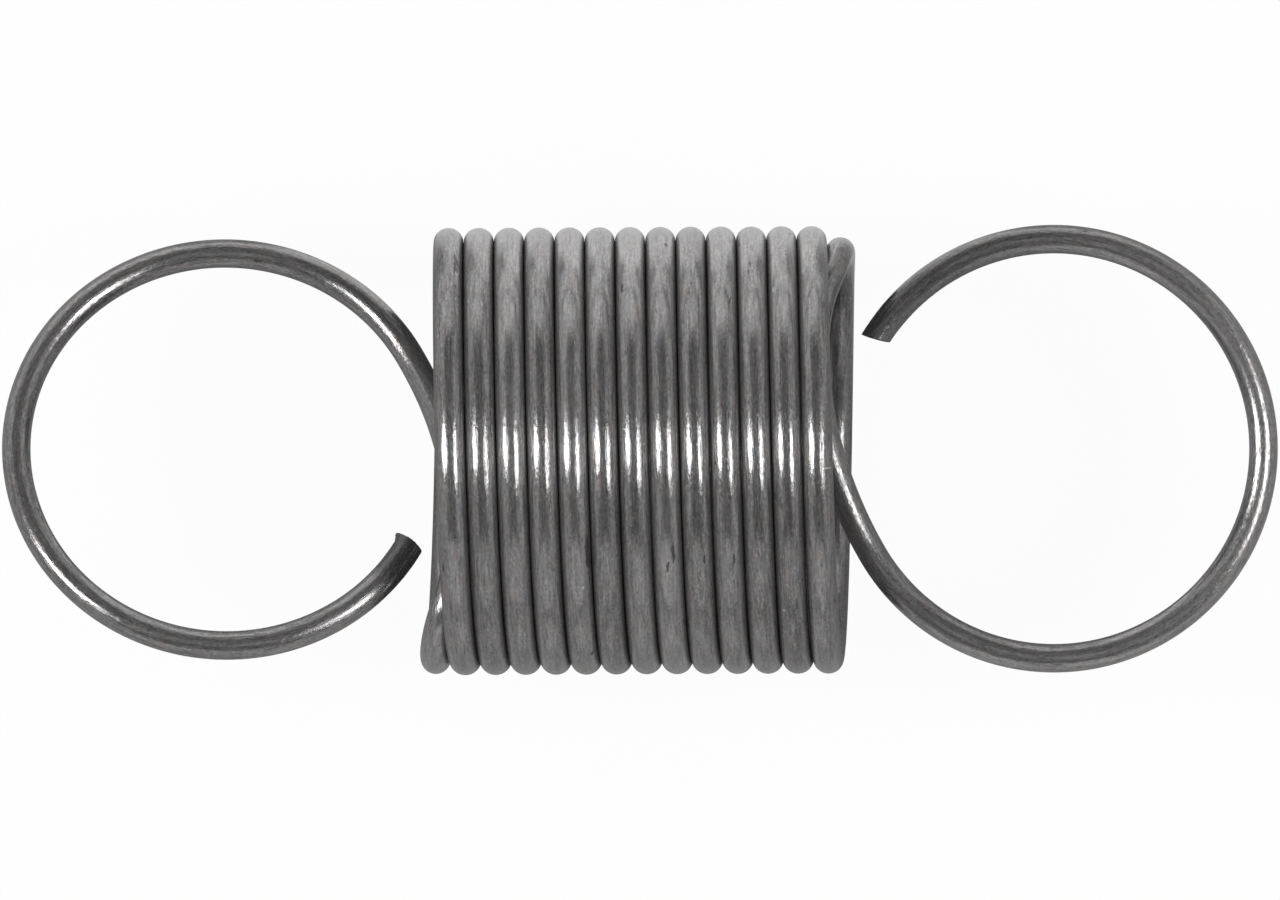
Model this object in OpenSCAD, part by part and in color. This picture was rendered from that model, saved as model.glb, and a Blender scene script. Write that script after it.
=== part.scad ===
// Extension spring, wound close from one round wire, with a full crossover loop at each end.
// Its axis lies along X and it rests on its side, the right loop level and the left one turned a little.
// At each end the wire leaves the coil near its top, crosses inside the last turn and becomes the loop.

/* [Wire] */
// Diameter of the wire
wire_d = 1.6; // [1:0.05:2]

/* [Coil] */
// Outer diameter of the coil
coil_od = 25; // [20:0.5:36]
// Whole turns of the coil, which has half a turn more
full_coils = 13; // [4:1:20]
// Gap between neighbouring turns
coil_gap = 0.09; // [0.05:0.01:1]

/* [Loops] */
// Outer diameter of the right loop
right_loop_od = 25; // [16:0.5:34]
// Outer diameter of the left loop
left_loop_od = 25; // [16:0.5:34]
// Angle that the left loop is turned about the spring's axis, away from the right loop's plane
left_twist = 20.7; // [-40:0.1:40]
// Angle that the left loop's far side is raised, away from the spring's axis
left_tilt = 3.1; // [-6:0.1:6]
// Angle at the loop's centre between the right free end and the coil
right_stop = 32; // [20:1:70]
// Angle at the loop's centre between the left free end and the coil
left_stop = 28; // [20:1:70]
// Lean of the right free end's cut from square, positive when the outer side is longer
right_cut = 16; // [-25:1:25]
// Lean of the left free end's cut from square, positive when the outer side is longer
left_cut = -8; // [-25:1:25]

/* [Crossovers] */
// Angle before the top of the last turn where the wire leaves the coil
leave_angle = 32; // [28:1:38]
// Angle at the loop's centre where the crossing wire joins the loop
join_angle = 36; // [25:1:45]

/* [Hidden] */
steel_colour = [0.44, 0.44, 0.42];

// Flat sides round the wire
wire_sides = 12;
// Steps in one turn of the coil, fewer on a long spring and whole in each quarter, and in a loop's circle
ring_budget = 420;
quarter_steps = min(6, floor(ring_budget / (full_coils + 0.5) / 4));
turn_steps = 4 * quarter_steps;
turn_step = 360 / turn_steps;
loop_steps = 36;
loop_step = 360 / loop_steps;
// Smallest part of a step between two rings of points
least_share = 0.3;

// The wire and the loops as polygons with the area of their circles
function corner_r(radius, sides) = radius * sqrt(2 * PI / (sides * sin(360 / sides)));
wire_r = corner_r(wire_d / 2, wire_sides);
right_loop_r = corner_r((right_loop_od - wire_d) / 2, loop_steps);
left_loop_r = corner_r((left_loop_od - wire_d) / 2, loop_steps);
// The coil with its outer flats as far from the axis as the real coil's outer side
coil_r = coil_od / 2 / cos(turn_step / 2) - wire_r;

// The coil along the axis, from the middle of its length
pitch = wire_d + coil_gap;
body_half = pitch * (full_coils + 0.5) / 2;
left_shift = pitch * left_twist / 360;
right_reach = body_half + 2 * right_loop_r + wire_r;
left_reach = body_half + left_shift + 2 * left_loop_r * cos(left_tilt) + wire_r;
// Height of the axis, from the coil's underside or the left loop's lowest place
left_loop_level = cos(left_tilt) * cos(left_twist);
left_loop_rise = sin(left_tilt) * cos(left_twist);
left_loop_drop = left_loop_r * (sqrt(1 - left_loop_level^2) - left_loop_rise) + wire_r;
axis_z = max(coil_od / 2, left_loop_drop);

// Angles along the coil, from the top of its first turn
right_leave = 360 * full_coils - leave_angle;
left_leave = leave_angle - 180 - left_twist;

// The crossing wire passes a place inside the last turn, given from the coil's end and from its circle
via_inset = 0.52 * pitch;
via_r = coil_r - 1.5 * wire_d;
via_angle = 6;
via_lean = 20;
via_rise = 26;
// Lengths of the curve handles, as shares of the coil's radius
bend_handle = 0.25;
cross_handle = 0.36;
join_handle = 0.5;
bend_steps = 6;
cross_steps = 6;

// Vectors and cubic curves
function unit(v) = v / norm(v);
function curve_at(c, t) =
    (1 - t)^3 * c[0] + 3 * (1 - t)^2 * t * c[1] + 3 * (1 - t) * t^2 * c[2] + t^3 * c[3];
function slope_at(c, t) =
    (1 - t)^2 * (c[1] - c[0]) + 2 * (1 - t) * t * (c[2] - c[1]) + t^2 * (c[3] - c[2]);

// Stations along the wire are pairs of a point and the wire's direction there
function coil_station(angle, x) = [
    [x, coil_r * cos(angle), coil_r * sin(angle)],
    unit([pitch / (2 * PI * coil_r), -sin(angle), cos(angle)])
];
function coil_x(angle) = pitch * (angle / 360 - (full_coils - 0.5) / 2);
function coil_outward(angle) = [0, cos(angle), sin(angle)];

// A loop lies in a plane that is hinged at the coil's end and raised by the tilt
function tilted(x, y, tilt) = [x * cos(tilt), y, x * sin(tilt)];
function loop_station(loop_r, tilt, angle) = [
    [body_half, 0, 0] + tilted(loop_r * (1 - cos(angle)), -loop_r * sin(angle), tilt),
    tilted(sin(angle), -cos(angle), tilt)
];
function loop_outward(tilt, angle) = tilted(-cos(angle), -sin(angle), tilt);
function loop_angles(stop) = let (last = 360 - stop) let (least = least_share * loop_step) concat(
    [join_angle],
    [for (k = [1 : loop_steps])
        let (angle = k * loop_step)
        if (angle > join_angle + least && angle < last - least) angle],
    [last]
);

// The bend from the coil to the place inside it, and the crossing from there to the loop
leave_station = coil_station(-leave_angle, body_half - pitch * leave_angle / 360);
via_point = [body_half - via_inset, via_r * cos(via_angle), via_r * sin(via_angle)];
via_direction = [-sin(via_lean), -cos(via_rise) * cos(via_lean), sin(via_rise) * cos(via_lean)];
bend_curve = [
    leave_station[0],
    leave_station[0] + bend_handle * coil_r * leave_station[1],
    via_point - bend_handle * coil_r * via_direction,
    via_point
];
function cross_curve(loop_r, tilt) = let (joint = loop_station(loop_r, tilt, join_angle)) [
    via_point,
    via_point + cross_handle * coil_r * via_direction,
    joint[0] - join_handle * coil_r * joint[1],
    joint[0]
];
function curve_stations(c, steps) = [
    for (i = [0 : steps - 1]) [curve_at(c, i / steps), unit(slope_at(c, i / steps))]
];

// One end of the wire from the coil outward, drawn for the right end
function end_stations(loop_r, tilt, stop) = concat(
    curve_stations(bend_curve, bend_steps),
    curve_stations(cross_curve(loop_r, tilt), cross_steps),
    [for (angle = loop_angles(stop)) loop_station(loop_r, tilt, angle)]
);

// Rings of points round the wire, with a side vector carried along it without twist
function square_to(v, direction) = unit(v - (v * direction) * direction);
function ring(station, side) = let (across = cross(station[1], side)) [
    for (k = [0 : wire_sides - 1])
        let (angle = 360 * k / wire_sides)
        station[0] + wire_r * (cos(angle) * side + sin(angle) * across)
];
function carried_sides(stations, side) = [
    for (i = 0, s = side; i < len(stations); i = i + 1,
        s = i < len(stations) ? square_to(s, stations[i][1]) : s) s
];
function leaning(points, station, outward, lean) = [
    for (p = points) p + tan(lean) * ((p - station[0]) * outward) * station[1]
];
function end_rings(loop_r, tilt, stop, cut) =
    let (stations = end_stations(loop_r, tilt, stop))
    let (sides = carried_sides(stations, coil_outward(-leave_angle)))
    let (last = len(stations) - 1)
    [for (i = [0 : last])
        let (points = ring(stations[i], sides[i]))
        i < last ? points : leaning(points, stations[i], loop_outward(tilt, -stop), cut)];

// The left end is the right one turned half round, then turned on by the twist, and it runs backwards
function to_left(p) = [
    -p.x - left_shift,
    -p.y * cos(left_twist) + p.z * sin(left_twist),
    p.y * sin(left_twist) + p.z * cos(left_twist)
];
function backwards(rings) = [
    for (i = [len(rings) - 1 : -1 : 0])
        [for (k = [0 : wire_sides - 1]) to_left(rings[i][(wire_sides - k) % wire_sides])]
];

// Rings on the coil, half a step off each quarter, so that a flat lies under the coil
function coil_angles() = let (least = least_share * turn_step) [
    for (k = [floor(left_leave / turn_step) : ceil(right_leave / turn_step)])
        let (angle = (k + 0.5) * turn_step)
        if (angle > left_leave + least && angle < right_leave - least) angle
];
function coil_rings() = [
    for (angle = coil_angles()) ring(coil_station(angle, coil_x(angle)), coil_outward(angle))
];

// A closed tube through a list of rings
module tube(rings) {
    last = len(rings) - 1;
    corners = [for (r = rings) for (p = r) p];
    walls = [
        for (i = [0 : last - 1]) for (k = [0 : wire_sides - 1])
            let (a = i * wire_sides + k)
            let (b = i * wire_sides + (k + 1) % wire_sides)
            for (face = [[a, a + wire_sides, b + wire_sides], [a, b + wire_sides, b]]) face
    ];
    first_cap = [for (k = [1 : wire_sides - 2]) [0, k, k + 1]];
    last_cap = [for (k = [1 : wire_sides - 2]) [for (j = [0, k + 1, k]) last * wire_sides + j]];
    polyhedron(corners, concat(walls, first_cap, last_cap), convexity = 10);
}

module spring() {
    left_rings = backwards(end_rings(left_loop_r, left_tilt, left_stop, left_cut));
    right_rings = end_rings(right_loop_r, 0, right_stop, right_cut);
    color(steel_colour)
        translate([(left_reach - right_reach) / 2, 0, axis_z])
            tube(concat(left_rings, coil_rings(), right_rings));
}

spring();
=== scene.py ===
import math

import bpy
import numpy as np
from mathutils import Matrix, Vector


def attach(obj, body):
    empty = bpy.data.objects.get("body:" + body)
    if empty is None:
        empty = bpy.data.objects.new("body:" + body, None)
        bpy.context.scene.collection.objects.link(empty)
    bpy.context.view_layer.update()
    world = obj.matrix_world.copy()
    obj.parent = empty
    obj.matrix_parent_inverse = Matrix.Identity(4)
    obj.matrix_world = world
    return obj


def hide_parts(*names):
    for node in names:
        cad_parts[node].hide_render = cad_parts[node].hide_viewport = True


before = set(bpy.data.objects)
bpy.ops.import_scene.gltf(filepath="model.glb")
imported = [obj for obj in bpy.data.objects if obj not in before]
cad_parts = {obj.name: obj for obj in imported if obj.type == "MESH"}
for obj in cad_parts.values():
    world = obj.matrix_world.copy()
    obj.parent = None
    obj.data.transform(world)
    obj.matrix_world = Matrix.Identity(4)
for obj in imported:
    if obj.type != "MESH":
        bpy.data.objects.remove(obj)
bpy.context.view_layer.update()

millimetre = 0.001

# The wire's path, in millimetres and degrees, from the middle of the coil

winding = {
    "wire": 1.6,          # diameter of the wire
    "coil": 25.0,         # outer diameter of the coil and of both loops
    "wholeTurns": 13,     # turns of the coil, which has half a turn more
    "gap": 0.09,          # between neighbouring turns
    "leftTwist": 20.7,    # how far the left loop is turned about the spring's axis
    "leftTilt": 3.1,      # how far its far side is raised
    "nearer": (0.15, 0.085),   # how much nearer the coil is to the left loop, and further from the right one
    "rightStop": 32.0,    # angle at the loop's centre between the free end and the coil
    "leftStop": 28.0,
    "leave": 32.0,        # angle before the top where the wire leaves its last turn
    "join": 30.0,         # angle at the loop's centre where the crossing wire joins it
    "inset": 0.52,        # the place that the crossing wire passes: from the coil's end, in pitches
    "depth": 1.5,         # inside the coil's circle, in wire diameters
    "turn": 6.0,          # round the axis
    "lean": 20.0,         # the wire's lean there
    "rise": 26.0,
    "handles": (0.25, 0.36, 0.5),   # lengths of the curve handles, as shares of the coil's radius
    "turnSteps": 176,     # rings of points in one turn
    "bendSteps": 26,
    "crossSteps": 30,
    "closeRing": 0.2,     # degrees from the cut to the ring before it, which keeps the wall straight
    "sides": 32,          # points in one ring
    "sway": 0.005,        # unevenness of the turns, sideways and inward
    "swayEvery": (61, 97),     # rings from one of its knots to the next, inward and sideways
    "swaySeeds": (3, 8),
    "closed": 0.044,      # how far each side of the wire spreads towards the next turn, nearly touching it
    "fadeSteps": 120,     # rings over which sway and spread set in at each end of the coil
}

coilR = (winding["coil"] - winding["wire"]) / 2
wireR = winding["wire"] / 2
pitch = winding["wire"] + winding["gap"]
bodyHalf = pitch * (winding["wholeTurns"] + 0.5) / 2
twist = math.radians(winding["leftTwist"])
leftShift = pitch * winding["leftTwist"] / 360
shorter = 2 * coilR * (1 - math.cos(math.radians(winding["leftTilt"])))   # what the tilt takes off its reach
place = np.array([(leftShift - shorter) / 2 - winding["nearer"][1], 0, coilR + wireR])   # the coil's middle


def unit(v):
    return v / np.linalg.norm(v, axis=-1, keepdims=True)


def coilStations(angles):
    a = np.radians(angles)
    x = pitch * (angles / 360 - (winding["wholeTurns"] - 0.5) / 2)
    outward = np.stack([0 * a, np.cos(a), np.sin(a)], 1)
    along = np.stack([0 * a + pitch / (2 * np.pi * coilR), -np.sin(a), np.cos(a)], 1)
    return outward * coilR + np.outer(x, [1, 0, 0]), unit(along), outward


def tilted(x, y, tilt):
    return np.stack([x * math.cos(math.radians(tilt)), y, x * math.sin(math.radians(tilt))], -1)


def loopStations(angles, tilt):
    a = np.radians(angles)
    # Only the left loop is tilted
    hinge = bodyHalf - winding["nearer"][0] if tilt else bodyHalf + winding["nearer"][1]
    centres = tilted(coilR * (1 - np.cos(a)), -coilR * np.sin(a), tilt) + (hinge, 0, 0)
    return centres, tilted(np.sin(a), -np.cos(a), tilt)


def curveStations(corners, steps):
    t = (np.arange(steps) / steps)[:, None]
    c = np.array(corners)
    s = 1 - t
    centres = s ** 3 * c[0] + 3 * s ** 2 * t * c[1] + 3 * s * t ** 2 * c[2] + t ** 3 * c[3]
    slopes = s ** 2 * (c[1] - c[0]) + 2 * s * t * (c[2] - c[1]) + t ** 2 * (c[3] - c[2])
    return centres, unit(slopes)


def endStations(stop, tilt):
    # From the coil outward, for the right end: a bend, the crossing inside the last turn, and the loop
    leave = math.radians(winding["leave"])
    start = np.array([bodyHalf - pitch * winding["leave"] / 360,
                      coilR * math.cos(leave), -coilR * math.sin(leave)])
    away = unit(np.array([pitch / (2 * math.pi * coilR), math.sin(leave), math.cos(leave)]))
    turn = math.radians(winding["turn"])
    viaR = coilR - winding["depth"] * winding["wire"]
    via = np.array([bodyHalf - winding["inset"] * pitch, viaR * math.cos(turn), viaR * math.sin(turn)])
    lean = math.radians(winding["lean"])
    rise = math.radians(winding["rise"])
    onward = np.array([-math.sin(lean), -math.cos(rise) * math.cos(lean), math.sin(rise) * math.cos(lean)])
    bendHandle, crossHandle, joinHandle = [share * coilR for share in winding["handles"]]
    joint, arriving = [v[0] for v in loopStations(np.array([winding["join"]]), tilt)]
    bend = curveStations([start, start + bendHandle * away, via - bendHandle * onward, via],
                         winding["bendSteps"])
    cross = curveStations([via, via + crossHandle * onward, joint - joinHandle * arriving, joint],
                          winding["crossSteps"])
    last = 360 - stop
    steps = round((last - winding["join"]) * winding["turnSteps"] / 360)
    angles = np.linspace(winding["join"], last, steps)
    loop = loopStations(np.insert(angles, -1, last - winding["closeRing"]), tilt)
    centres = np.concatenate([bend[0], cross[0], loop[0]])
    directions = np.concatenate([bend[1], cross[1], loop[1]])
    side = np.array([0, math.cos(leave), -math.sin(leave)])
    sides = []
    for direction in directions:   # carried along without twist
        side = unit(side - side.dot(direction) * direction)
        sides.append(side)
    return centres, directions, np.array(sides)


def toLeft(v, shift):
    c, s = math.cos(twist), math.sin(twist)
    return np.stack([-v[:, 0] - shift, -v[:, 1] * c + v[:, 2] * s, v[:, 1] * s + v[:, 2] * c], 1)


def smoothNoise(seed, count, every):
    # Values from -1 to 1 that change smoothly, with a knot every so many places
    knots = np.random.default_rng(seed).uniform(-1, 1, count // every + 4)
    t = np.arange(count) / every
    i = t.astype(int)
    f = (1 - np.cos((t - i) * np.pi)) / 2
    return knots[i] * (1 - f) + knots[i + 1] * f


def wirePath():
    leftCentres, leftDirections, leftSides = endStations(winding["leftStop"], winding["leftTilt"])
    rightCentres, rightDirections, rightSides = endStations(winding["rightStop"], 0)
    step = 360 / winding["turnSteps"]
    first = winding["leave"] - 180 - winding["leftTwist"]
    last = 360 * winding["wholeTurns"] - winding["leave"]
    angles = np.linspace(first, last, round((last - first) / step) + 1)[1:-1]
    coilCentres, coilDirections, coilSides = coilStations(angles)
    count = len(angles)
    fromEnd = np.minimum(np.arange(count), np.arange(count)[::-1])
    fade = np.clip(fromEnd / winding["fadeSteps"], 0, 1)[:, None]
    inward, sideways = [smoothNoise(seed, count, every)[:, None]
                        for seed, every in zip(winding["swaySeeds"], winding["swayEvery"])]
    inward = (inward - 1) * coilSides   # never outward
    sideways = sideways * np.array([1, 0, 0])
    coilCentres = coilCentres + winding["sway"] * fade * (inward + sideways)
    centres = np.concatenate([toLeft(leftCentres, leftShift)[::-1], coilCentres, rightCentres])
    directions = np.concatenate([-toLeft(leftDirections, 0)[::-1], coilDirections, rightDirections])
    sides = np.concatenate([toLeft(leftSides, 0)[::-1], coilSides, rightSides])
    spread = np.concatenate([0 * leftCentres[:, 0], winding["closed"] * fade[:, 0], 0 * rightCentres[:, 0]])
    return centres + place, directions, sides, spread


# The wire as one mesh, with its cut ends

cutEnds = {
    "rightLean": 16.0,    # of the cut from square, positive when the loop's outer side is longer
    "leftLean": -8.0,
    "leanReach": 1.4,     # how far back from the cut the rings lean with it, in millimetres
    "rightCrown": 0.05,   # how far the middle of the cut stands out
    "leftCrown": 0.16,
    "rightFlare": 0.0,    # how far the cut spreads the wire on the loop's inner side
    "leftFlare": 0.17,
    "rolled": 0.10,       # how far the edge is rounded back where the blade went in
    "rolledFrom": 0.88,   # share of the radius at which that begins
    "burr": 0.07,         # height of the lip where it came out
    "burrFrom": 0.9,      # share of the radius at which that begins
    "teeth": 0.45,        # unevenness of that lip
    "roughness": 0.018,   # of the torn face
    "tornTo": 0.97,       # share of the radius that is torn
    "rings": (1.0, 0.992, 0.965, 0.92, 0.8, 0.62, 0.42, 0.2),   # shares of the radius
    "leftSeed": 5,
    "rightSeed": 9,
}


def flared(spokes, share, outward, flare):
    inner = np.clip(-(spokes @ outward), 0, 1) ** 3
    return np.outer(-flare * share ** 2 * inner, outward)


def cutRings(centre, direction, side, outward, lean, crown, flare, burrAngle, seed):
    # The points of each ring, from the wire's surface inward, and the middle of the cut
    chance = np.random.default_rng(seed)
    across = np.cross(direction, side)
    angles = np.radians(np.arange(winding["sides"]) * 360 / winding["sides"])
    spokes = np.outer(np.cos(angles), side) + np.outer(np.sin(angles), across)
    height = spokes @ outward
    burr = np.clip(np.cos(angles - burrAngle), 0, 1) ** 2
    teeth = 1 + cutEnds["teeth"] * (chance.uniform(-1, 1, winding["sides"]) - 1)
    rings = []
    for share in cutEnds["rings"]:
        reach = math.tan(math.radians(lean)) * height * wireR * share
        rolled = max(0, (share - cutEnds["rolledFrom"]) / (1 - cutEnds["rolledFrom"]))
        rounding = -cutEnds["rolled"] * (1 - burr) * rolled ** 2
        raised = max(0, (share - cutEnds["burrFrom"]) / (1 - cutEnds["burrFrom"]))
        lip = cutEnds["burr"] * burr * teeth * raised
        dome = crown * (1 - share ** 2)
        rough = chance.uniform(-1, 1, winding["sides"])
        torn = cutEnds["roughness"] * rough * (share < cutEnds["tornTo"])
        ahead = reach + rounding + lip + dome + torn
        rings.append(centre + wireR * share * spokes + ahead[:, None] * direction +
                     flared(spokes, share, outward, flare))
    return rings, centre + crown * direction


def wireMesh():
    centres, directions, sides, spread = wirePath()
    count, around = len(centres), winding["sides"]
    across = np.cross(directions, sides)
    angles = np.radians(np.arange(around) * 360 / around + 180)   # from the inner side of the coil
    cosines, sines = np.cos(angles)[None, :, None], np.sin(angles)[None, :, None]
    spokes = cosines * sides[:, None] + sines * across[:, None]
    points = centres[:, None] + wireR * spokes
    points[:, :, 0] += spread[:, None] * spokes[:, :, 0]
    gone = np.concatenate([[0], np.cumsum(np.linalg.norm(np.diff(centres, axis=0), axis=1))])
    ends = []
    for last, end in ((0, "left"), (count - 1, "right")):
        direction = directions[last] * (1 if last else -1)
        tilt = 0 if last else winding["leftTilt"]
        middle = (loopStations(np.zeros(1), tilt)[0] + loopStations(np.full(1, 180), tilt)[0])[0] / 2
        middle = place + (middle if last else toLeft(middle[None], leftShift)[0])
        outward = unit(centres[last] - middle)
        up = np.cross(direction, outward)
        side = -sides[last]
        burrAngle = math.atan2(up.dot(np.cross(direction, side)), up.dot(side))
        lean, crown, flare, seed = [cutEnds[end + name] for name in ("Lean", "Crown", "Flare", "Seed")]
        rings, tip = cutRings(centres[last], direction, side, outward, lean, crown, flare, burrAngle, seed)
        ends.append((last, rings, tip))
        for i in (last, abs(last - 1)):
            points[i] += flared(spokes[i], 1, outward, flare)
        # The last few rings lean with the cut, so that the wall meets it evenly
        leaning = 1 - np.abs(gone - gone[last]) / cutEnds["leanReach"]
        for i in np.nonzero(leaning > 0)[0]:
            height = (points[i] - centres[i]) @ outward
            points[i] += np.outer(math.tan(math.radians(lean)) * height * leaning[i], direction)
    verts = [points.reshape(-1, 3)]
    wirePlace = [np.stack([np.repeat(gone, around), np.tile(-wireR * np.cos(angles), count),
                           np.tile(-wireR * np.sin(angles), count)], 1)]
    faces, cutFaces = [], []
    k = np.arange(around)
    following = (k + 1) % around
    for i in range(count - 1):
        a, b = i * around, (i + 1) * around
        faces += [(a + p, b + p, b + q, a + q) for p, q in zip(k, following)]
    base = count * around
    for last, rings, tip in ends:
        edge = last * around
        order = k if last else (-k) % around      # the left end is seen from its other side
        before = edge + k
        for share, ring in zip(cutEnds["rings"][1:], rings[1:]):
            verts.append(ring[order])
            depth = wireR * (1 - share) * (1 if last else -1)
            wirePlace.append(np.stack([0 * k + gone[last] + depth, -wireR * share * np.cos(angles),
                                       -wireR * share * np.sin(angles)], 1))
            here = base + k
            base += around
            quads = [(before[p], here[p], here[q], before[q]) for p, q in zip(k, following)]
            cutFaces += quads if last else [f[::-1] for f in quads]
            before = here
        verts.append(tip[None])
        wirePlace.append(np.array([[gone[last], 0, 0]]))
        fans = [(before[p], base, before[q]) for p, q in zip(k, following)]
        cutFaces += fans if last else [f[::-1] for f in fans]
        base += 1
    return np.concatenate(verts), faces, cutFaces, np.concatenate(wirePlace), gone, count


bakeLayout = {
    "strips": 16,         # the wire takes all but the last, and the two cuts take that one
    "gutter": 0.03,       # left free at both sides of a strip, as a share of its height
    "margin": 0.004,      # left free at both ends of a strip
    "cuts": (0.1, 0.3),   # where the right and the left cut lie along their strip
    "cutSize": 2.4,       # radii of the wire in a strip's height
}


def bakeMap(mesh, gone, count):
    # The wire laid out in strips, one above another, and the two cut faces in the last strip
    strips, around = bakeLayout["strips"], winding["sides"]
    length = gone[-1] / (strips - 1) * 1.0001   # a little over, so that the wire's end stays in its strip
    gutter, margin = bakeLayout["gutter"], bakeLayout["margin"]
    uv = np.zeros((len(mesh.loops), 2))
    loop = 0
    height = 1 / strips
    for i in range(count - 1):
        strip = int((gone[i] + gone[i + 1]) / 2 / length)
        left = (gone[i] - strip * length) / length
        right = (gone[i + 1] - strip * length) / length
        for p in range(around):
            low = (strip + gutter + (1 - 2 * gutter) * p / around) * height
            high = (strip + gutter + (1 - 2 * gutter) * (p + 1) / around) * height
            uv[loop:loop + 4] = ((left, low), (right, low), (right, high), (left, high))
            loop += 4
    uv[:, 0] = margin + (1 - 2 * margin) * np.clip(uv[:, 0], 0, 1)
    co = np.zeros(len(mesh.vertices) * 3)
    mesh.vertices.foreach_get("co", co)
    co = co.reshape(-1, 3) / millimetre
    corners = np.zeros(len(mesh.loops), int)
    mesh.loops.foreach_get("vertex_index", corners)
    rest = co[corners[loop:]]
    for sign, middle in zip((1, -1), bakeLayout["cuts"]):
        mine = rest[:, 0] * sign > 0
        ring = rest[mine]
        normal = np.linalg.svd(ring - ring.mean(0), full_matrices=False)[2]
        flat = (ring - ring.mean(0)) @ normal[:2].T
        size = bakeLayout["cutSize"] * wireR
        uv[loop:][mine] = flat / size * height + (middle, (strips - 0.5) * height)
    mesh.uv_layers.new(name="OFBake").data.foreach_set("uv", uv.ravel())


def makeSpring():
    verts, faces, cutFaces, wirePlace, gone, count = wireMesh()
    mesh = bpy.data.meshes.new("springWire")
    mesh.from_pydata(verts * millimetre, [], [tuple(int(v) for v in f) for f in faces + cutFaces])
    slots = np.zeros(len(mesh.polygons), int)
    slots[len(faces):] = 1
    mesh.polygons.foreach_set("material_index", slots)
    mesh.polygons.foreach_set("use_smooth", np.ones(len(mesh.polygons), bool))
    mesh.attributes.new("wirePlace", "FLOAT_VECTOR", "POINT").data.foreach_set("vector", wirePlace.ravel())
    bakeMap(mesh, gone, count)
    mesh.update()
    spring = bpy.data.objects.new("springWire", mesh)
    bpy.context.scene.collection.objects.link(spring)
    return spring


class Value:   # a socket that can stand in a sum
    def __init__(self, look, socket):
        self.look = look
        self.socket = socket

    def __add__(self, other):
        return self.look.add("ShaderNodeMath", {"operation": "ADD"}, {0: self, 1: other})

    def __sub__(self, other):
        return self.look.add("ShaderNodeMath", {"operation": "SUBTRACT"}, {0: self, 1: other})

    def __rsub__(self, other):
        return self.look.add("ShaderNodeMath", {"operation": "SUBTRACT"}, {0: other, 1: self})

    def __mul__(self, other):
        return self.look.add("ShaderNodeMath", {"operation": "MULTIPLY"}, {0: self, 1: other})

    __radd__ = __add__
    __rmul__ = __mul__


class Look:   # the nodes of one material or of the world
    def __init__(self, tree):
        self.tree = tree
        tree.nodes.clear()

    def add(self, kind, settings=None, sockets=None, out=0):
        node = self.tree.nodes.new(kind)
        for name, setting in (settings or {}).items():
            setattr(node, name, setting)
        for name, value in (sockets or {}).items():
            if isinstance(value, Value):
                self.tree.links.new(value.socket, node.inputs[name])
            else:
                node.inputs[name].default_value = value
        return Value(self, node.outputs[out]) if len(node.outputs) else node

    def absolute(self, value):
        return self.add("ShaderNodeMath", {"operation": "ABSOLUTE"}, {0: value})

    def parts(self, at):
        first = self.add("ShaderNodeSeparateXYZ", None, {0: at})
        return [Value(self, socket) for socket in first.socket.node.outputs]

    def stretched(self, at, along, across):
        return self.add("ShaderNodeVectorMath", {"operation": "MULTIPLY"},
                        {0: at, 1: (along, across, across)})

    def pattern(self, at, along, across, detail, roughness, warp=0.0):
        return self.add("ShaderNodeTexNoise", {"noise_dimensions": "3D"}, {
            "Vector": self.stretched(at, along, across), "Scale": 1.0,
            "Detail": detail, "Roughness": roughness, "Distortion": warp})

    def total(self, patterns, shares):
        return sum(patterns[name] * share for name, share in shares.items())

    def step(self, value, low, high, start=0.0, end=1.0):
        return self.add("ShaderNodeMapRange", {"interpolation_type": "SMOOTHSTEP"},
                        {"Value": value, "From Min": low, "From Max": high, "To Min": start, "To Max": end})

    def blend(self, share, first, second):
        return self.add("ShaderNodeMix", {"data_type": "RGBA"}, {0: share, 6: first, 7: second}, 2)


steelLook = {
    "dull": (0.174, 0.170, 0.170, 1),        # where the drawing film is thick
    "bright": (0.590, 0.576, 0.574, 1),      # where it is rubbed off
    "cool": (0.316, 0.340, 0.378, 1),
    "warm": (0.396, 0.352, 0.326, 1),
    "scuff": (0.050, 0.050, 0.052, 1),
    "valleyShade": (0.20, 0.197, 0.193, 1),        # painted shade on the wire's sides, in the valleys between the turns
    "pale": (0.85, 0.84, 0.80, 1),
    "film": (0.085, 0.085, 0.090, 1),        # near both free ends
    "metal": 0.80,              # the rest is the film, which scatters
    # How strongly each pattern goes into the tone, from dull to bright
    "tones": {"lines": 1.0, "streaks": 1.2, "mottle": 0.3, "grain": 1.3, "patches": 0.2, "shades": 1.6},
    "flecks": 0.8,              # added to the tone
    "tints": 0.40,              # share of the cool and the warm tint
    "marks": 0.75,              # share of the dark marks and scuffs
    "markJags": 5.0,            # unevenness of the marks' edges, in sizes of the mark
    # how strongly the painted shade darkens the wire's sides between the turns
    "valleyShadeShare": 0.40,
    "filmPlaces": ((3.4, 1.9, 0.62), (1138.0, 1151.0, 0.34)),   # where it begins and is full, its share
    "filmJags": 3.0,            # unevenness of where it begins, in millimetres
    "bends": (90.0, 1064.0),    # distances along the wire where the coil begins and ends, in millimetres
    "joints": (61.7, 1093.3),   # and where each loop does
    "reach": 4.0,               # to both sides of those, over which the finish changes
    "roughness": 0.15,
    "rougher": {"mottle": 0.25, "grain": 0.2},   # added where a pattern is high, taken off where it is low
    "markRoughness": 0.25,
    # added roughness where the shade between the turns is painted
    "valleyShadeRoughness": 0.18,
    "dullEnd": 0.10,            # added near the left free end
    # Depth of each pattern in metres, and what the bending of the crossing wires added
    "depths": {"lines": 0.000008, "streaks": 0.000004, "hairlines": 0.000007, "mottle": 0.000007,
               "grain": 0.000006, "patches": 0.000007},
    "wornDepths": {"mottle": 0.000010, "grain": 0.000010},
    "loopShare": 0.9,           # of the added depth that the loops themselves lack
    "markDepth": 0.000004,
}

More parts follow.
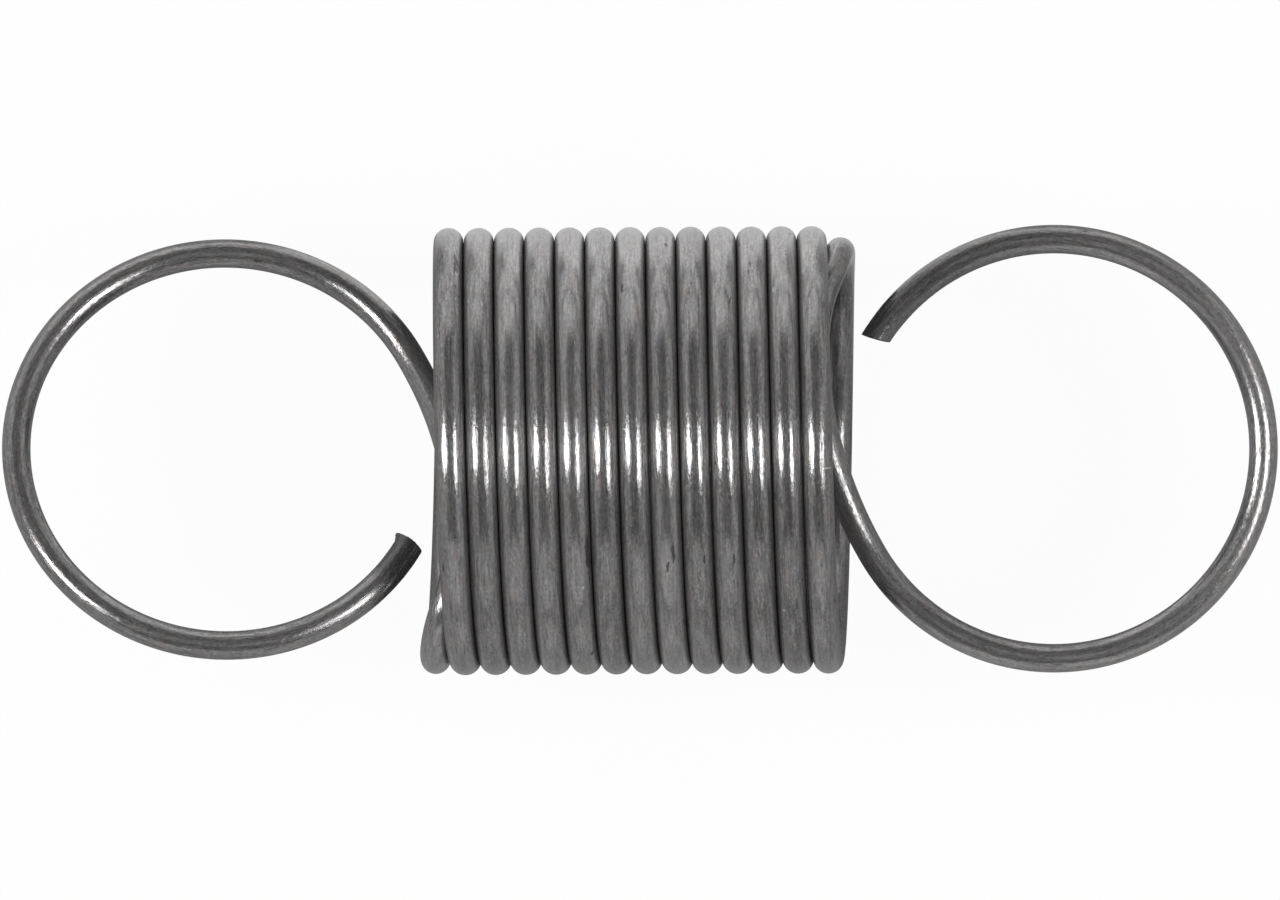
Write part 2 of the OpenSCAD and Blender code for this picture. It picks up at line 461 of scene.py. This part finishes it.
# Where each effect begins and is full: values of its pattern, sizes of a mark, or millimetres
steelEdges = {
    "tone": (2.05, 3.55),
    "flecks": (0.66, 0.73),
    "cool": (0.51, 0.64),
    "warm": (0.49, 0.36),
    "scuffs": (0.585, 0.63),
    "scuffPlaces": (0.69, 0.74),
    "darkMarks": (1.2, 0.9),
    "paleMarks": (1.1, 0.7),
    "valleyShade": (0.50, 0.74),    # painted shade, sideways on the wire towards the neighbouring turns
    "dullEnd": (12.0, 6.0),   # along it
}

# Patterns: how close along the wire and across it, per millimetre, then detail, roughness and warp
steelPatterns = {
    "lines": (0.35, 7.0, 3.0, 0.6),
    "streaks": (1.0, 10.0, 2.0, 0.5),
    "hairlines": (1.1, 19.0, 2.0, 0.6),
    "mottle": (1.8, 4.2, 5.0, 0.65, 0.3),
    "grain": (4.2, 9.0, 2.0, 0.6),
    "flecks": (3.4, 11.0, 1.0, 0.5),
    "patches": (0.16, 0.8, 3.0, 0.55),
    "shades": (0.02, 0.12, 2.0, 0.5),
    "tints": (0.9, 2.6, 4.0, 0.6),
    "scuffPlaces": (0.22, 0.7, 1.0, 0.5),
    "scuffs": (0.9, 3.8, 4.0, 0.65),
    "jags": (2.0, 7.0, 3.0, 0.6),
}

# Marks on the wire, in millimetres: distance from its left end, place across it (towards the coil's axis
# and sideways), half length and half width
darkMarks = [
    (126.9, -0.67, 0.44, 0.75, 0.14), (128.8, -0.67, 0.44, 0.16, 0.09), (145.0, -0.57, -0.57, 0.30, 0.09),
    (438.2, -0.50, 0.62, 1.05, 0.17), (446.0, -0.57, 0.57, 0.28, 0.13), (569.9, -0.67, -0.44, 0.36, 0.10),
    (639.4, -0.74, 0.31, 0.24, 0.07), (658.5, -0.74, 0.31, 0.44, 0.08), (659.4, -0.80, 0.00, 0.30, 0.09),
    (732.5, -0.74, 0.31, 0.30, 0.06), (806.0, -0.74, 0.31, 0.36, 0.07), (1029.4, -0.44, 0.67, 0.24, 0.09),
]
paleMarks = [
    (440.2, -0.74, 0.31, 0.08, 0.08), (956.4, -0.67, -0.44, 0.08, 0.08), (937.6, -0.60, -0.50, 0.22, 0.08),
    (1021.5, -0.57, 0.57, 0.045, 0.36), (1088.3, 0.78, 0.16, 0.045, 0.30),
]


def nearestMark(look, at, marks):
    # How far the nearest mark's middle is, where 1 is that mark's own edge
    nearest = 9.0
    for along, facing, sideways, halfLength, halfWidth in marks:
        middle = (along / halfLength, facing / halfWidth, sideways / halfWidth)
        away = look.add("ShaderNodeVectorMath", {"operation": "DISTANCE"},
                        {0: look.stretched(at, 1 / halfLength, 1 / halfWidth), 1: middle}, 1)
        nearest = look.add("ShaderNodeMath", {"operation": "MINIMUM"}, {0: away, 1: nearest})
    return nearest


def drawnSteel():
    material = bpy.data.materials.new("drawnSteel")
    material.use_nodes = True
    look = Look(material.node_tree)
    at = look.add("ShaderNodeAttribute", {"attribute_name": "wirePlace"}, out=1)
    along, sideways = look.parts(at)[::2]
    patterns = {name: look.pattern(at, *shape) for name, shape in steelPatterns.items()}

    tone = look.total(patterns, steelLook["tones"])
    tone = tone + look.step(patterns["flecks"], *steelEdges["flecks"]) * steelLook["flecks"]
    colour = look.blend(look.step(tone, *steelEdges["tone"]), steelLook["dull"], steelLook["bright"])
    for name in ("cool", "warm"):
        tint = look.step(patterns["tints"], *steelEdges[name], 0.0, steelLook["tints"])
        colour = look.blend(tint, colour, steelLook[name])

    jags = patterns["jags"] - 0.5
    scuffs = look.step(patterns["scuffs"], *steelEdges["scuffs"])
    scuffs = scuffs * look.step(patterns["scuffPlaces"], *steelEdges["scuffPlaces"])
    nearest = nearestMark(look, at, darkMarks) + jags * steelLook["markJags"]
    placed = look.step(nearest, *steelEdges["darkMarks"])
    marks = look.add("ShaderNodeMath", {"operation": "MAXIMUM"}, {0: scuffs, 1: placed}) * steelLook["marks"]
    colour = look.blend(marks, colour, steelLook["scuff"])
    pale = look.step(nearestMark(look, at, paleMarks), *steelEdges["paleMarks"])
    colour = look.blend(pale, colour, steelLook["pale"])
    for begins, full, share in steelLook["filmPlaces"]:
        film = look.step(along + jags * steelLook["filmJags"], begins, full, 0.0, share)
        colour = look.blend(film, colour, steelLook["film"])

    reach = steelLook["reach"]
    outside = []
    for left, right in (steelLook["bends"], steelLook["joints"]):
        onLeft = look.step(along, left + reach, left - reach)
        outside.append(onLeft + look.step(along, right - reach, right + reach))
    worn, looped = outside
    # Painted shade on the wire's sides where the turns meet, left off the bends and loops; it also makes
    # them rougher
    valleyShade = look.step(look.absolute(sideways), *steelEdges["valleyShade"]) * (1 - worn)
    colour = look.blend(valleyShade * steelLook["valleyShadeShare"], colour, steelLook["valleyShade"])

    roughness = steelLook["roughness"] - 0.5 * sum(steelLook["rougher"].values())
    roughness = roughness + look.total(patterns, steelLook["rougher"])
    roughness = roughness + marks * steelLook["markRoughness"] + valleyShade * steelLook["valleyShadeRoughness"]
    roughness = roughness + look.step(along, *steelEdges["dullEnd"]) * steelLook["dullEnd"]
    scraped = worn - looped * steelLook["loopShare"]
    height = look.total(patterns, steelLook["depths"]) - marks * steelLook["markDepth"]
    height = height + scraped * look.total(patterns, steelLook["wornDepths"])
    bump = look.add("ShaderNodeBump", None, {"Strength": 1.0, "Distance": 1.0, "Height": height})
    steel = look.add("ShaderNodeBsdfPrincipled", None, {
        "Base Color": colour, "Metallic": steelLook["metal"], "Roughness": roughness, "Normal": bump})
    look.add("ShaderNodeOutputMaterial", None, {"Surface": steel})
    return material


shearedLook = {
    "bright": (0.50, 0.49, 0.46, 1),
    "dark": (0.22, 0.215, 0.205, 1),
    "roughness": (0.38, 0.6),      # where it is bright and where it is dark
    "bladeLines": (3.0, 9.0, 4.0, 0.7),      # patterns as on the wire
    "torn": (5.0, 3.0, 5.0, 0.7, 0.6),
    "darkEdges": (0.4, 0.62),      # values of the torn pattern where it turns dark and rough
    "roughEdges": (0.3, 0.7),
    "bladeDepth": 0.00002,         # in metres
    "tornDepth": 0.00004,
}


def shearedSteel():
    # The cut faces: brighter and rougher, with the blade's lines across them
    material = bpy.data.materials.new("shearedSteel")
    material.use_nodes = True
    look = Look(material.node_tree)
    at = look.add("ShaderNodeAttribute", {"attribute_name": "wirePlace"}, out=1)
    bladeLines = look.pattern(at, *shearedLook["bladeLines"])
    torn = look.pattern(at, *shearedLook["torn"])
    dark = look.step(torn, *shearedLook["darkEdges"])
    colour = look.blend(dark, shearedLook["bright"], shearedLook["dark"])
    roughness = look.step(torn, *shearedLook["roughEdges"], *shearedLook["roughness"])
    height = bladeLines * shearedLook["bladeDepth"] + torn * shearedLook["tornDepth"]
    bump = look.add("ShaderNodeBump", None, {"Strength": 1.0, "Distance": 1.0, "Height": height})
    steel = look.add("ShaderNodeBsdfPrincipled", None, {
        "Base Color": colour, "Metallic": 1.0, "Roughness": roughness, "Normal": bump})
    look.add("ShaderNodeOutputMaterial", None, {"Surface": steel})
    return material


floorLook = {
    "colour": (0.52, 0.52, 0.52, 1),
    "size": 6.0,            # in metres
    "cameraWhite": 0.86,    # share of plain white that the camera sees
    "level": 1.10,          # of that white
    # The share that the metal sees: around, behind the coil, further back, before it, and back on its left
    "metalWhite": {"around": 0.02, "behind": 0.82, "back": 0.61, "before": 0.17, "corner": 0.20},
    "backFrom": (0.036, 0.085),   # where the share behind the coil begins to change and becomes the back's
}

# How far to the side and towards the back each of those places begins and is full, in metres
floorPlaces = {
    "behind": ((0.022, 0.012), (-0.004, 0.030)),
    "back": ((0.09, 0.055), (0.042, 0.078)),
    "before": ((0.016, 0.012), (-0.032, -0.046)),
    "corner": ((-0.018, -0.032), (0.03, 0.055)),
}


def makeFloor():
    reach = floorLook["size"] / 2
    mesh = bpy.data.meshes.new("floor")
    mesh.from_pydata([(-reach, -reach, 0), (reach, -reach, 0), (reach, reach, 0), (-reach, reach, 0)], [],
                     [(0, 1, 2, 3)])
    floor = bpy.data.objects.new("floor", mesh)
    bpy.context.scene.collection.objects.link(floor)
    material = bpy.data.materials.new("paleFloor")
    material.use_nodes = True
    look = Look(material.node_tree)
    camera, glossy, through = [look.add("ShaderNodeLightPath", out=name) for name in
                               ("Is Camera Ray", "Is Glossy Ray", "Is Transmission Ray")]
    x, y = look.parts(look.add("ShaderNodeTexCoord", out=3))[:2]
    share = floorLook["metalWhite"]
    inside = {}
    for name, (side, depth) in floorPlaces.items():
        aside = x if name == "corner" else look.absolute(x)
        inside[name] = look.step(aside, *side) * look.step(y, *depth)
    behind = 1 - (1 - inside["behind"]) * (1 - inside["back"])
    lit = look.step(y, *floorLook["backFrom"], share["behind"], share["back"])
    metalWhite = share["around"] + behind * (lit - share["around"])
    metalWhite = metalWhite + inside["before"] * share["before"]
    metalWhite = metalWhite + inside["corner"] * (1 - behind) * share["corner"]
    seen = camera * floorLook["cameraWhite"] + (glossy + through) * metalWhite
    matt = look.add("ShaderNodeBsdfDiffuse", None, {"Color": floorLook["colour"]})
    white = look.add("ShaderNodeEmission", None, {"Color": (1, 1, 1, 1), "Strength": floorLook["level"]})
    mixed = look.add("ShaderNodeMixShader", None, {0: seen, 1: matt, 2: white})
    look.add("ShaderNodeOutputMaterial", None, {"Surface": mixed})
    mesh.materials.append(material)


studio = {
    "behind": 0.73,          # level towards the top of the picture
    "before": 0.46,          # towards its bottom
    "left": (0.32, 0.50),    # to its left, near the bottom and near the top
    "right": 0.36,
    "overhead": 0.10,        # the dark side where the camera stands
    "glints": 0.42,          # low down behind the coil
    "glintsRight": 0.45,     # their share on the right, where they are weaker
    "glow": 0.13,            # round the lamps, where the wire of the coil faces the camera
}

# Where each of those begins and is full, as parts of a direction: x goes to the right of the picture
# and y to its top, and flank, overheadWide and the glints' first two take the size of x
studioEdges = {
    "backward": (-0.5, 0.5),
    "leftward": (0.2, -0.2),
    "leftHigh": (0.3, 0.75),
    "flank": (0.4, 0.8),
    "overheadBack": (0.96, 0.83),
    "overheadFront": (-0.79, -0.66),
    "overheadWide": (0.75, 0.36),
    "glintsNear": (0.24, 0.42),
    "glintsFar": (0.70, 0.52),
    "glintsBack": (0.72, 0.86),
    "glintsRight": (-0.3, 0.3),
    "glow": (0.42, 0.0),
}


def makeWorld():
    world = bpy.data.worlds.new("studio")
    world.use_nodes = True
    look = Look(world.node_tree)
    x, y = look.parts(look.add("ShaderNodeTexCoord", out=0))[:2]
    aside = look.absolute(x)
    around = look.step(y, *studioEdges["backward"], studio["before"], studio["behind"])
    onLeft = look.step(x, *studioEdges["leftward"])
    sides = onLeft * look.step(y, *studioEdges["leftHigh"], *studio["left"]) + (1 - onLeft) * studio["right"]
    flank = look.step(aside, *studioEdges["flank"])
    around = around * (1 - flank) + flank * sides
    overhead = look.step(y, *studioEdges["overheadBack"]) * look.step(y, *studioEdges["overheadFront"])
    overhead = overhead * look.step(aside, *studioEdges["overheadWide"])
    glints = look.step(aside, *studioEdges["glintsNear"]) * look.step(aside, *studioEdges["glintsFar"])
    glints = glints * look.step(y, *studioEdges["glintsBack"])
    glints = glints * look.step(x, *studioEdges["glintsRight"], 1.0, studio["glintsRight"])
    glow = look.step(look.absolute(y), *studioEdges["glow"]) * overhead
    level = around * (1 - overhead) + overhead * studio["overhead"]
    level = level + glints * studio["glints"] + glow * studio["glow"]
    light = look.add("ShaderNodeBackground", None, {"Color": (1, 1, 1, 1), "Strength": level})
    look.add("ShaderNodeOutputWorld", None, {"Surface": light})
    bpy.context.scene.world = world


lamps = {
    # Two wide lamps and the narrow tubes before them: degrees across and up, half width, half height, level
    "places": ((-41.5, 0.5, 15.0, 9.5, 5.2), (36.0, -2.4, 11.3, 13.5, 3.3),
               (-43.0, 2.2, 5.0, 13.0, 2.6), (36.0, -0.6, 4.5, 16.5, 2.1)),
    "distance": 0.5,         # in metres, from the middle of the coil
}


def makeLamps():
    distance = lamps["distance"]
    middle = Vector((0, 0, (coilR + wireR) * millimetre))
    for number, (across, up, halfWidth, halfHeight, level) in enumerate(lamps["places"]):
        a, b = math.radians(across), math.radians(up)
        way = Vector((math.sin(a), math.sin(b), math.cos(a) * math.cos(b))).normalized()
        lamp = bpy.data.lights.new("softLamp%d" % (number + 1), "AREA")
        lamp.shape = "ELLIPSE"
        lamp.size = 2 * distance * math.tan(math.radians(halfHeight))
        lamp.size_y = 2 * distance * math.tan(math.radians(halfWidth))
        lamp.energy = level * math.pi ** 2 * lamp.size * lamp.size_y / 4   # its face shines at that level
        holder = bpy.data.objects.new(lamp.name, lamp)
        turned = way.to_track_quat("Z", "Y").to_matrix().to_4x4()
        holder.matrix_world = Matrix.Translation(middle + way * distance) @ turned
        bpy.context.scene.collection.objects.link(holder)


view = {
    "distance": 1040.0,      # in millimetres
    "aim": (0.03, 0.04, 12.5),
    "lean": 1.28,            # degrees towards the right, from straight above
    "roll": 0.28,            # degrees clockwise, so that the spring climbs to the right
    "lens": 523.7,
    "sensor": 36.0,
    "clip": (0.01, 20.0),    # in metres
}


def makeCamera():
    lean = math.radians(view["lean"])
    away = Vector((math.sin(lean), 0, math.cos(lean)))
    roll = math.radians(view["roll"])
    level = Vector((math.cos(lean), 0, -math.sin(lean)))
    sideways = level * math.cos(roll) - Vector((0, math.sin(roll), 0))
    spot = Vector(view["aim"]) * millimetre + away * view["distance"] * millimetre
    camera = bpy.data.cameras.new("photoCamera")
    camera.sensor_width = view["sensor"]
    camera.lens = view["lens"]
    camera.clip_start, camera.clip_end = view["clip"]
    holder = bpy.data.objects.new("photoCamera", camera)
    turned = Matrix((sideways, away.cross(sideways), away)).transposed().to_4x4()
    holder.matrix_world = Matrix.Translation(spot) @ turned
    bpy.context.scene.collection.objects.link(holder)
    bpy.context.scene.camera = holder


spring = makeSpring()
spring.data.materials.append(drawnSteel())
spring.data.materials.append(shearedSteel())
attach(spring, "root")
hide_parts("spring")
print("spring made:", len(spring.data.polygons), "faces")

makeFloor()
makeWorld()
makeLamps()
makeCamera()
bpy.context.scene.view_settings.view_transform = "Standard"
print("floor, light and camera made")
